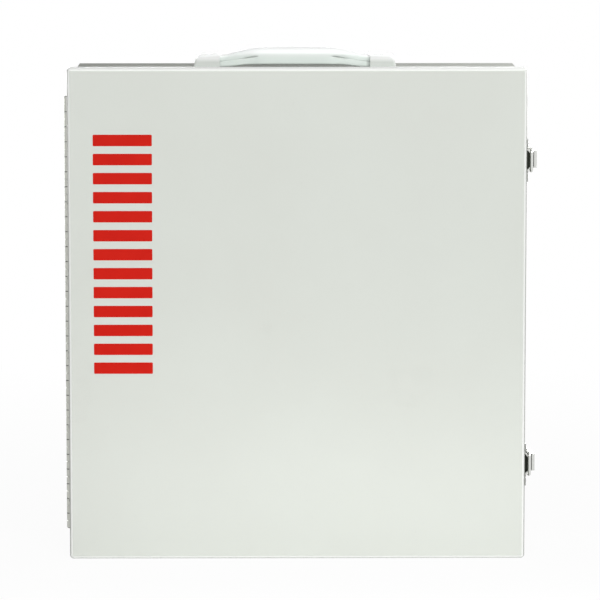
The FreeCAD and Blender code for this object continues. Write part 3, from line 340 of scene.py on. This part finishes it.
floor_paint = bpy.data.materials.new("floor_paint")
tree = empty_tree(floor_paint)
place = Wire(tree.nodes.new("ShaderNodeNewGeometry").outputs["Position"])
away = place.node("ShaderNodeVectorMath", {"operation": "LENGTH"}, {0: place}, output="Value")
white = away.clamped(SHADOW_NEAR, SHADOW_FAR) * (1.0 - NEAR_WHITE) + NEAR_WHITE
card = place.node("ShaderNodeBsdfDiffuse", {}, {"Color": grey(FLOOR_GREY)})
glow = place.node("ShaderNodeEmission", {}, {"Color": grey(1.0), "Strength": 1.0})
floor_mix = place.node("ShaderNodeMixShader", {}, {0: seen_directly(tree) * white, 1: card, 2: glow})
show(floor_mix.socket, "ShaderNodeOutputMaterial")
floor_mesh.materials.append(floor_paint)
print("floor at", round(cad_box[0].z, 4))

# %% [markdown]
# A highlight is painted on the outward bends and the top edge of the door, which makes them lighter than
# its flat face, and a painted shade gives a darker line where a bend turns into the side. Painted by hand,
# such lines would need a mask for each edge. The way the surface faces already tells a bend from a flat
# sheet, so it makes the mask.

# %% Painted highlight and shade on the door's bends
# Colours of the painted highlight on the bends and of the painted shade where a bend turns into the side
BEND_HIGHLIGHT = (0.955, 0.970, 0.945, 1)
TURN_SHADE = (0.370, 0.380, 0.355, 1)
# Edge and blur of each zone of a bend, as the part of the surface's direction that lies along one axis
FACE_ENDS, BEND_ENDS = (0.9625, 0.0225), (0.675, 0.125)
SIDE_STARTS, SIDE_ENDS = (0.775, 0.075), (0.07, 0.05)
TOP_STARTS, LEVEL_ENDS = (0.325, 0.075), (0.22, 0.12)


def direction(place):
    """The way the surface faces, as three wires along the piece's own axes."""
    return place.node("ShaderNodeTexCoord", {}, {}, output="Normal").axes()


def door_painted_light(place, colour):
    """The door's colour with a painted highlight on its bends and top edge, and painted shade where a bend
    turns into the side.
    """
    aside, inward, upward = direction(place)
    facing = 0.0 - inward
    rounded = facing.below(*FACE_ENDS) * facing.above(*BEND_ENDS) * upward.below(*LEVEL_ENDS)
    light = rounded.larger(upward.above(*TOP_STARTS))
    turned = abs(aside).above(*SIDE_STARTS) * facing.above(*SIDE_ENDS)
    return turned.tint(light.tint(colour, BEND_HIGHLIGHT), TURN_SHADE)


print("light on a bend:", BEND_HIGHLIGHT[:3], "dark on a turn:", TURN_SHADE[:3])

# %% [markdown]
# Shade is painted on the top of the case, darker towards the hinge, and a darker painted shadow lies under
# the carry strap and just behind it. Both could be thin pieces of their own, but such a film has no
# thickness to see, so they are laid over the paint's colour by their place on the roof.

# %% Painted shade on the case's top
# Colour of the painted shade on the case's top and of the painted shadow under the strap
TOP_SHADE_COLOUR = (0.170, 0.175, 0.160, 1)
SHADE_LEFT, SHADE_RIGHT, STRAP_SHADOW = 0.40, 0.10, 0.93
CAP_BLUR, STRAP_BLUR = 1 * MM, 2 * MM
SHADOW_BEHIND, SHADOW_BEHIND_BLUR = 7 * MM, 3 * MM
TOP_SHADE_DEPTH, TOP_SHADE_BLUR = 0.4 * MM, 0.2 * MM
cap_right_end, cap_left_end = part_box("handle_cap_right")[0].x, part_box("handle_cap_left")[1].x


def case_top_shade(place, colour):
    """The case's colour under painted shade on its top, and under a nearly full painted shadow below the
    strap.
    """
    x, y, z = place.axes()
    along = x.above(cap_left_end - CAP_BLUR, CAP_BLUR) * x.below(cap_right_end + CAP_BLUR, CAP_BLUR)
    across = y.above(grip_low.y, STRAP_BLUR) * y.below(grip_high.y + SHADOW_BEHIND, SHADOW_BEHIND_BLUR)
    hinge_side_shade = x.clamped(roof_high.x, roof_low.x) * (SHADE_LEFT - SHADE_RIGHT) + SHADE_RIGHT
    top_shade_share = hinge_side_shade.larger(along * across * STRAP_SHADOW)
    return (top_shade_share * z.above(roof_high.z - TOP_SHADE_DEPTH, TOP_SHADE_BLUR)).tint(colour, TOP_SHADE_COLOUR)


print("painted_shadow from x", round(cap_left_end, 4), "to", round(cap_right_end, 4))

# %% [markdown]
# The door and the case are sprayed in the same pale warm grey. Baked paint on sheet steel flows out
# almost smooth but keeps an orange-peel ripple of a millimetre or two, and its gloss drifts a little over
# the sheet. A flat colour would look like paper, so both come from noise at their real size: a fine
# ripple as relief, and a wide drift in colour and gloss.

# %% Baked paint
PAINT_DRIFT, SPECK, PEEL, FINE_PEEL = 110 * MM, 2.2 * MM, 1.6 * MM, 0.5 * MM
PEEL_DEPTH = 0.03 * MM
SPECK_STARTS, SPECK_FULL = 0.62, 0.80
SPECK_GREY, SPECK_SHARE = 0.45, 0.05


def baked_paint(name, pale, shaded, rough_low, rough_high, shine, light_and_shade):
    """Sprayed paint on sheet steel. Its last argument is a function that lays painted highlights or painted
    shade over its colour.
    """
    material, shader, place = new_finish(name, IOR=1.5, Specular_IOR_Level=shine)
    drift = place.drift(PAINT_DRIFT)
    speck = place.noise(SPECK, detail=1.0).clamped(SPECK_STARTS, SPECK_FULL)
    peel = place.noise(PEEL, roughness=0.4)
    fine = place.noise(FINE_PEEL, detail=1.0)
    colour = (speck * SPECK_SHARE).tint(drift.tint(shaded, pale), grey(SPECK_GREY))
    feed(shader, Base_Color=light_and_shade(place, colour),
         Roughness=drift * (rough_high - rough_low) + rough_low + fine * 0.03,
         Normal=(peel + fine * 0.2).relief(PEEL_DEPTH, strength=0.5))
    return material


door_paint = baked_paint("door_paint", (0.705, 0.735, 0.685, 1), (0.690, 0.715, 0.665, 1),
                         rough_low=0.26, rough_high=0.31, shine=0.5, light_and_shade=door_painted_light)
case_paint = baked_paint("case_paint", (0.705, 0.725, 0.680, 1), (0.690, 0.708, 0.662, 1),
                         rough_low=0.62, rough_high=0.70, shine=0.06, light_and_shade=case_top_shade)
print("paints:", door_paint.name, case_paint.name)

# %% [markdown]
# The metal fittings are plated steel. Nickel on the latches is bright and nearly smooth, zinc on the hinge
# is duller and cloudy, and plain steel inside shows the fine lines it was rolled with. A finish for each
# could be drawn by hand, but they differ only in degree, so one function makes all of them: fine lines
# along one axis, a cloudy drift, and small dull spots. A painted shade, dark and duller, is laid where a
# mask marks places that lie in shade.

# %% Plated metal
CLOUD, LINE, SPOT = 6 * MM, 1 * MM, 1.2 * MM
SPOT_STARTS, SPOT_FULL = 0.60, 0.72
# Colour of the painted shade in gaps and hollows, and the roughness that it adds
PAINTED_SHADE = (0.034, 0.038, 0.030, 1)
SHADE_DULLS = 0.3


def plated_metal(name, colour, dull, rough, cloud, lines, relief, in_shade=None):
    """Plated steel with lines stretched along one axis, and painted shade where its last argument gives 1.
    """
    material, shader, place = new_finish(name, Metallic=1.0)
    clouds = place.drift(CLOUD)
    drawn = place.stretched(*lines).noise(LINE)
    spots = place.noise(SPOT).clamped(SPOT_STARTS, SPOT_FULL)
    shade = (clouds * 0.6 + spots * 0.4).tint(colour, dull)
    roughness = clouds * cloud + spots * 0.08 + drawn * 0.06 + rough
    if in_shade:
        shade_mask = in_shade(place)
        shade = shade_mask.tint(shade, PAINTED_SHADE)
        roughness = roughness + shade_mask * SHADE_DULLS
    feed(shader, Base_Color=shade, Roughness=roughness, Normal=drawn.relief(relief, strength=0.4))
    return material


rivet_metal = plated_metal("rivet_metal", (0.50, 0.51, 0.475, 1), (0.43, 0.44, 0.41, 1),
                           rough=0.46, cloud=0.08, lines=(2, 2, 2), relief=0.01 * MM)
hinge_rivet = plated_metal("hinge_rivet", (0.36, 0.37, 0.34, 1), (0.30, 0.31, 0.28, 1),
                           rough=0.66, cloud=0.08, lines=(2, 2, 2), relief=0.01 * MM)
base_plate = plated_metal("base_plate", (0.62, 0.625, 0.60, 1), (0.54, 0.54, 0.52, 1),
                          rough=0.24, cloud=0.10, lines=(3, 0.4, 3), relief=0.01 * MM)
latch_wire = plated_metal("latch_wire", (0.72, 0.73, 0.70, 1), (0.63, 0.635, 0.61, 1),
                          rough=0.10, cloud=0.06, lines=(2, 2, 2), relief=0.01 * MM)
inner_steel = plated_metal("inner_steel", (0.56, 0.56, 0.55, 1), (0.47, 0.47, 0.46, 1),
                           rough=0.32, cloud=0.12, lines=(0.4, 6, 6), relief=0.02 * MM)
plain_metals = (rivet_metal, hinge_rivet, base_plate, latch_wire, inner_steel)
print("plain metals:", [metal.name for metal in plain_metals])

# %% [markdown]
# A piano hinge is a row of short knuckles on one long pin. Shade is painted into every second gap between
# them, as a dark dot on its outer side. Set one by one, the dots would need a list of heights. They repeat,
# so the fraction of a count of knuckle pairs makes them all at once.

# %% Painted shade between the hinge's knuckles
KNUCKLE = 6.05 * MM
GAP_SHADE_HALF, GAP_SHADE_BLUR = 0.336 * MM, 0.084 * MM
lowest_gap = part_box("hinge_door_leaf")[0].z
pin_low, pin_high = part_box("hinge_pin")


def knuckle_gap_shade(place):
    """1 where shade is painted: in every second gap between knuckles, on the outer side of the pin."""
    x, y, z = place.axes()
    pairs = (z - lowest_gap) * (0.5 / KNUCKLE) + 0.5
    from_gap = abs(pairs.maths("FRACT", pairs) - 0.5) * (2.0 * KNUCKLE)
    return from_gap.below(GAP_SHADE_HALF, GAP_SHADE_BLUR) * x.clamped(pin_high.x, pin_low.x)


hinge_steel = plated_metal("hinge_steel", (0.510, 0.520, 0.480, 1), (0.43, 0.436, 0.405, 1),
                           rough=0.34, cloud=0.10, lines=(6, 6, 0.4), relief=0.02 * MM,
                           in_shade=knuckle_gap_shade)
print("hinge:", hinge_steel.name, "lowest gap at", round(lowest_gap, 5))

# %% [markdown]
# Each latch is stamped from sheet and folded into hollow shapes. Shade is painted inside them, so the
# channel of the lever, the hood of the keeper and the ends of its flange are dark.
# The hollows lie at known places in the solids, so a mask of their places marks them, where a painted map
# would need unwrapped sheets.

# %% Painted shade in the latches' hollows
LATCH_METAL = 1.0 * MM
# The web of the lever falls by 7 mm over this length
LEVER_SLOPE = 7.0 / 55.4
LEVER_INSIDE, LEVER_BLUR = 6.02 * MM, 0.04 * MM
WEB_CLEAR, WEB_BLUR = 0.20 * MM, 0.05 * MM
# Depth of the hood's inside below the keeper's outer face, and of its mouth behind the keeper's front
HOOD_ROOF, HOOD_MOUTH = 0.85 * MM, 4.75 * MM
HOOD_HALF, HOOD_BLUR = 7.6 * MM, 0.4 * MM
FLANGE_FROM, FLANGE_BLUR, FLANGE_SHARE = 9.0 * MM, 0.5 * MM, 0.6
keepers = [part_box(name) for name in ("keeper_upper", "keeper_lower")]
lever_low, lever_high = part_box("latch_lever_upper")


def latch_hollow_shade(place):
    """Painted shade: 1 inside the levers and the keepers' hoods, and less on the ends of the keepers'
    flanges.
    """
    x, y, z = place.axes()
    from_upper, from_lower = (abs(z - (low.z + high.z) / 2) for low, high in keepers)
    off = from_upper.smaller(from_lower)
    from_web = x + (y - lever_low.y) * LEVER_SLOPE - (lever_high.x - LATCH_METAL)
    under_web = from_web.below(WEB_CLEAR, WEB_BLUR)
    behind_nose = y.above(lever_low.y + 0.7 * LATCH_METAL, 0.2 * LATCH_METAL)
    in_lever = off.below(LEVER_INSIDE, LEVER_BLUR) * under_web * behind_nose
    keeper_low, keeper_high = keepers[0]
    under_hood = x.below(keeper_high.x - HOOD_ROOF, 0.05 * MM)
    past_mouth = y.above(keeper_low.y + HOOD_MOUTH, 0.2 * MM)
    before_lever = y.below(lever_low.y - 0.15 * MM, 0.05 * MM)
    in_hood = under_hood * past_mouth * off.below(HOOD_HALF, HOOD_BLUR) * before_lever
    beside_hood = off.above(FLANGE_FROM, FLANGE_BLUR) * y.below(lever_low.y + 0.1 * MM, 0.1 * MM)
    return (in_lever + in_hood + beside_hood * FLANGE_SHARE).clamped(0.0, 1.0)


latch_plate = plated_metal("latch_plate", (0.70, 0.71, 0.68, 1), (0.60, 0.605, 0.58, 1),
                           rough=0.08, cloud=0.06, lines=(3, 0.4, 3), relief=0.01 * MM,
                           in_shade=latch_hollow_shade)
print("latches:", latch_plate.name)

# %% [markdown]
# The seal is closed-cell foam, and its skin is a matt dark grey full of tiny round cells. Plain noise
# would look like dirt, so a cell texture gives the pores, both as relief and as slightly darker dots.

# %% Foam
CELL, CELL_DEPTH = 1.1 * MM, 0.2 * MM
PORE_STARTS, PORE_FULL = 0.15, 0.55
seal_foam, shader, place = new_finish("seal_foam", Specular_IOR_Level=0.3)
cells = place.node("ShaderNodeTexVoronoi", {}, {"Vector": place, "Scale": 1.0 / CELL}, output="Distance")
pores = cells.clamped(PORE_STARTS, PORE_FULL)
feed(shader, Base_Color=pores.tint((0.020, 0.020, 0.021, 1), (0.055, 0.055, 0.056, 1)),
     Roughness=pores * 0.1 + 0.82, Normal=cells.relief(CELL_DEPTH, strength=0.6))
print("foam:", seal_foam.name)

# %% [markdown]
# The carry handle is moulded from white plastic. A mould leaves a very fine even grain, and the gloss
# varies softly where the plastic has flowed. A highlight is painted on its top and upper part, and the
# lower upright sides keep a darker and duller tone. Two plastics side by side would show a seam, so the
# surface direction and the height above the case decide between the two tones.

# %% Moulded plastic
FLOW, GRAIN, GRAIN_DEPTH = 12 * MM, 0.7 * MM, 0.03 * MM
# Colour of the highlight painted on the handle's top and upper part
TOP_HIGHLIGHT = (0.975, 0.985, 0.98, 1)
PLASTIC_ROUGH, SIDE_DULLS = 0.24, 0.32
TOP_EDGE, TOP_BLUR, HIGH_LIT = 0.5, 0.4, 0.85


def moulded_plastic(name, pale, shaded, lit_from, lit_full):
    """White plastic with a painted highlight where it faces up, and on its upper part, growing between two
    heights above the case.
    """
    material, shader, place = new_finish(name, IOR=1.49)
    flow = place.stretched(0.5, 1, 1).drift(FLOW, detail=2.0)
    grain = place.noise(GRAIN)
    on_top = direction(place)[2].above(TOP_EDGE, TOP_BLUR)
    height = (place.axes()[2] - roof_high.z).clamped(lit_from, lit_full)
    top_light = on_top.larger(height * HIGH_LIT)
    feed(shader, Base_Color=top_light.tint(flow.tint(shaded, pale), TOP_HIGHLIGHT),
         Roughness=flow * 0.06 + grain * 0.05 + PLASTIC_ROUGH + (1.0 - top_light) * SIDE_DULLS,
         Normal=grain.relief(GRAIN_DEPTH, strength=0.35))
    return material


strap_plastic = moulded_plastic("strap_plastic", (0.800, 0.868, 0.830, 1), (0.780, 0.848, 0.810, 1),
                                lit_from=9.0 * MM, lit_full=14.0 * MM)
cap_plastic = moulded_plastic("cap_plastic", (0.690, 0.725, 0.690, 1), (0.670, 0.705, 0.670, 1),
                              lit_from=5.5 * MM, lit_full=8.5 * MM)
print("plastics:", strap_plastic.name, cap_plastic.name)

# %% [markdown]
# Every solid from the packed model takes the finish of its slot in the record, which already says which
# slot each piece belongs to. A list of all the pieces would only repeat it, so a small table of slots is
# enough. Four pieces have a duller plating than the rest of their slot.

# %% Finishes on the solids
slot_finish = {"case_paint": case_paint, "door_paint": door_paint, "seal_foam": seal_foam,
               "hinge_steel": hinge_steel, "rivet_metal": rivet_metal, "latch_plate": latch_plate,
               "latch_wire": latch_wire, "handle_plastic": cap_plastic, "handle_strap": strap_plastic,
               "inner_steel": inner_steel}
own_finish = {"latch_base_upper": base_plate, "latch_base_lower": base_plate,
              "hinge_door_rivets": hinge_rivet, "hinge_case_rivets": hinge_rivet}
for part in frame["record"]["subparts"]:
    mesh = nodes[part["node"]].data
    mesh.materials.clear()
    mesh.materials.append(own_finish.get(part["node"], slot_finish[part["material_slot"]]))

# %% [markdown]
# The latch pieces are stamped from sheet, and a stamped and plated edge is never knife sharp. Rounding
# the lever's long edges in its solid was tried and failed, so a small bevel laid over the solids lets
# each edge catch the light, without a change to their size.

# %% Softened edges on the latches
EDGE_ROUND, EDGE_STEPS, EDGE_ANGLE = 0.4 * MM, 3, math.radians(40)
softened = ("latch_lever_upper", "latch_lever_lower", "keeper_upper", "keeper_lower")
for name in softened:
    bevel = nodes[name].modifiers.new("stamped_edge", "BEVEL")
    bevel.width, bevel.segments = EDGE_ROUND, EDGE_STEPS
    bevel.limit_method, bevel.angle_limit = "ANGLE", EDGE_ANGLE
print("softened latch pieces:", len(softened))

# %% [markdown]
# The handle is one bow of flexible plastic. In the middle it is a full, rounded grip. Towards each end it
# thins into a flat strap that lies over a narrower web, and a groove between the two starts sharply at
# the grip. It could be a curve with a bevel, but its section changes all the way, so it is lofted: a
# table gives the section at a few places, and a smooth curve through the table gives it everywhere
# between.

# %% Sections of the bow
CASE_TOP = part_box("handle_cap_left")[0].z
BOW_X = (grip_low.x + grip_high.x) / 2
BOW_Y = (grip_low.y + grip_high.y) / 2
# Place from the middle, then top, underside, half width of the strap and of the web, top corner,
# groove height and groove depth, all in millimetres above the case
BOW_TABLE = [
    (0.0, 17.0, 3.6, 12.0, 12.0, 5.0, 10.4, 0.0),
    (14.0, 17.0, 3.6, 12.0, 12.0, 5.0, 10.4, 0.0),
    (22.0, 16.95, 3.6, 12.0, 12.0, 4.9, 10.3, 0.0),
    (29.5, 16.65, 3.5, 11.95, 11.9, 4.6, 10.1, 0.0),
    (31.0, 16.5, 3.45, 11.9, 11.6, 4.5, 10.0, 0.9),
    (33.0, 16.3, 3.4, 11.8, 11.2, 4.3, 9.8, 1.8),
    (37.0, 15.75, 3.3, 11.4, 10.8, 3.8, 9.2, 1.4),
    (41.0, 15.0, 3.0, 11.0, 10.5, 3.4, 8.5, 0.9),
    (45.2, 13.95, 2.5, 10.5, 10.2, 3.0, 7.8, 0.3),
    (49.3, 12.9, 1.9, 9.8, 9.6, 2.7, 7.2, 0.12),
    (53.5, 12.0, 1.4, 9.0, 8.7, 2.5, 6.6, 0.15),
    (57.6, 11.1, 1.1, 8.2, 7.6, 2.3, 6.0, 0.3),
    (61.2, 10.6, 1.0, 7.8, 7.0, 2.2, 5.7, 0.5),
    (63.0, 10.5, 1.0, 7.8, 7.0, 2.2, 5.6, 0.5),
]


def bow_at(x):
    """The section's values at a place between two rows of the table, on a smooth curve through the rows."""
    index = max(i for i, row in enumerate(BOW_TABLE[:-1]) if row[0] <= x)
    before = BOW_TABLE[max(index - 1, 0)]
    start, end = BOW_TABLE[index], BOW_TABLE[index + 1]
    after = BOW_TABLE[min(index + 2, len(BOW_TABLE) - 1)]
    span = end[0] - start[0]
    t = (x - start[0]) / span
    values = []
    for a, b, c, d in zip(before[1:], start[1:], end[1:], after[1:]):
        slope_in = (c - a) / (end[0] - before[0]) * span if (b - a) * (c - b) > 0 else 0.0
        slope_out = (d - b) / (after[0] - start[0]) * span if (c - b) * (d - c) > 0 else 0.0
        values.append(b * (1 + 2 * t) * (1 - t) ** 2 + slope_in * t * (1 - t) ** 2
                      + c * t * t * (3 - 2 * t) + slope_out * t * t * (t - 1))
    return values


print("bow at its neck:", [round(value, 2) for value in bow_at(46.0)])

# %% [markdown]
# One section runs from the middle of the underside, round the lower corner, over the lips of the groove
# and round the top corner to the middle of the top. It is the same on both sides, so only one side is
# drawn and then mirrored. The corners are arcs, because a few straight steps would show on white plastic.

# %% One side of a section
LOW_CORNER, LIP, CROWN = 1.6, 0.45, 0.25
LOW_STEPS, TOP_STEPS = 4, 9


def corner(y, z, radius, start, end, steps):
    """Points on a rounded corner about a centre, between two angles in degrees."""
    angles = [math.radians(start + (end - start) * i / steps) for i in range(steps + 1)]
    return [(y + radius * math.cos(a), z + radius * math.sin(a)) for a in angles]


def bow_section(x):
    """One side of the section, from the middle of its underside up to the middle of its top."""
    top, low, strap, web, top_corner, groove, deep = bow_at(x)
    underside = [(0.0, low), (0.5 * (web - LOW_CORNER), low)]
    underside += corner(web - LOW_CORNER, low + LOW_CORNER, LOW_CORNER, -90, 0, LOW_STEPS)
    lower_lip = [(web, groove - 2.2 * LIP), (web, groove - LIP), (web - deep, groove - 0.2 * LIP)]
    upper_lip = [(web - deep, groove + 0.2 * LIP), (strap - 0.3 * deep, groove + 0.6 * LIP),
                 (strap, groove + 1.6 * LIP)]
    crown = corner(strap - top_corner, top - top_corner - CROWN, top_corner, 0, 90, TOP_STEPS)
    crown += [(0.5 * (strap - top_corner), top - 0.25 * CROWN), (0.0, top)]
    return underside + lower_lip + upper_lip + crown


print("points on one side of a section:", len(bow_section(0.0)))

# %% [markdown]
# The bow is made in two halves that meet in the middle. They stand in for the packed grip and necks, which
# are hidden.

# %% Loft the two halves
BOW_STEPS = 64
CAP_MOUTH, GRIP_END = 61.2, 33.0
SHARP_ANGLE = math.radians(50)


def new_piece(name, builder, finish):
    """An object in the scene from a filled bmesh, with all its faces turned outward and one finish."""
    bmesh.ops.recalc_face_normals(builder, faces=builder.faces)
    mesh = bpy.data.meshes.new(name)
    builder.to_mesh(mesh)
    builder.free()
    mesh.materials.append(finish)
    piece = bpy.data.objects.new(name, mesh)
    scene.collection.objects.link(piece)
    return piece


def join_rings(builder, first, second):
    """A band of faces between two rings with the same number of points."""
    count = len(first)
    for i in range(count):
        j = (i + 1) % count
        builder.faces.new((first[i], first[j], second[j], second[i]))


def loft_half(name, side):
    """Half of the bow, from its middle out to its end in the cap, as a closed mesh."""
    builder = bmesh.new()
    rings = []
    for step in range(BOW_STEPS + 1):
        x = BOW_TABLE[-1][0] * step / BOW_STEPS
        right = bow_section(x)
        around = right + [(-y, z) for y, z in reversed(right[1:-1])]
        rings.append([builder.verts.new((BOW_X + side * x * MM, BOW_Y + y * MM, CASE_TOP + z * MM))
                      for y, z in around])
    for first, second in zip(rings, rings[1:]):
        join_rings(builder, first, second)
    builder.faces.new(rings[0])
    builder.faces.new(rings[-1])
    half = new_piece(name, builder, strap_plastic)
    half.data.shade_smooth()
    half.data.set_sharp_from_angle(angle=SHARP_ANGLE)
    return half


for name, side in (("bow_half_left", -1), ("bow_half_right", 1)):
    half = loft_half(name, side)
    start = (BOW_X + side * CAP_MOUTH * MM, BOW_Y, CASE_TOP)
    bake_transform(half)
    neck = "handle_neck_left" if side < 0 else "handle_neck_right"
    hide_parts("handle_grip", neck)
    print(name, "faces:", len(half.data.polygons))

# %% [markdown]
# On the front, a column of plain red bars is screen-printed near the hinge. Printed ink covers evenly but
# not perfectly: its tone drifts, and the mesh of the screen leaves a very fine grain. A single red would
# look like tape.

# %% Ink
INK_DRIFT, INK_GRAIN, INK_RELIEF = 20 * MM, 0.9 * MM, 0.02 * MM
ink_red, shader, place = new_finish("ink_red", Specular_IOR_Level=0.08)
ink_drift = place.drift(INK_DRIFT)
ink_mesh = place.noise(INK_GRAIN, detail=1.0)
ink_tone = ink_drift * 0.7 + ink_mesh * 0.3
feed(shader, Base_Color=ink_tone.tint((0.66, 0.016, 0.008, 1), (0.60, 0.012, 0.006, 1)),
     Roughness=ink_drift * 0.08 + ink_mesh * 0.05 + 0.36, Normal=ink_mesh.relief(INK_RELIEF, strength=0.3))
print("ink:", ink_red.name)

# %% [markdown]
# A printed film is a tenth of a millimetre thick with slightly soft corners. It could be a mask in the
# door's paint, but a thin film of its own keeps a crisp edge at any distance, so each bar is a slab with
# rounded corners laid on the door. Its underside is sunk a little into the paint, so no gap shows.

# %% Printed bars
INK_LEFT, INK_RIGHT = -163.5, -116.2
INK_TOP, INK_LOW = 145.6, -47.4
INK_BARS, INK_SHARE = 13, 0.60
INK_FILM, INK_SINK, INK_CORNER = 0.12, 0.03, 0.8
CORNER_STEPS = 5

bars = bmesh.new()
bar_pitch = (INK_TOP - INK_LOW) / (INK_BARS - 1 + INK_SHARE)
left, right = INK_LEFT + INK_CORNER, INK_RIGHT - INK_CORNER
for index in range(INK_BARS):
    high = INK_TOP - index * bar_pitch - INK_CORNER
    low = INK_TOP - (index + INK_SHARE) * bar_pitch + INK_CORNER
    outline = []
    for x, z, start in ((right, high, 0), (left, high, 90), (left, low, 180), (right, low, 270)):
        outline += corner(x, z, INK_CORNER, start, start + 90, CORNER_STEPS)
    film, under = ([bars.verts.new((x * MM, door_low.y + y * MM, z * MM)) for x, z in outline]
                   for y in (-INK_FILM, INK_SINK))
    bars.faces.new(film)
    bars.faces.new(list(reversed(under)))
    join_rings(bars, film, under)
printed_bars = new_piece("printed_bars", bars, ink_red)
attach(printed_bars, "door")
print("printed bars:", INK_BARS, "pitch", round(bar_pitch, 2))

# %% [markdown]
# The box of the packed solids was taken at the start as cad_box, before any finish or piece was added.
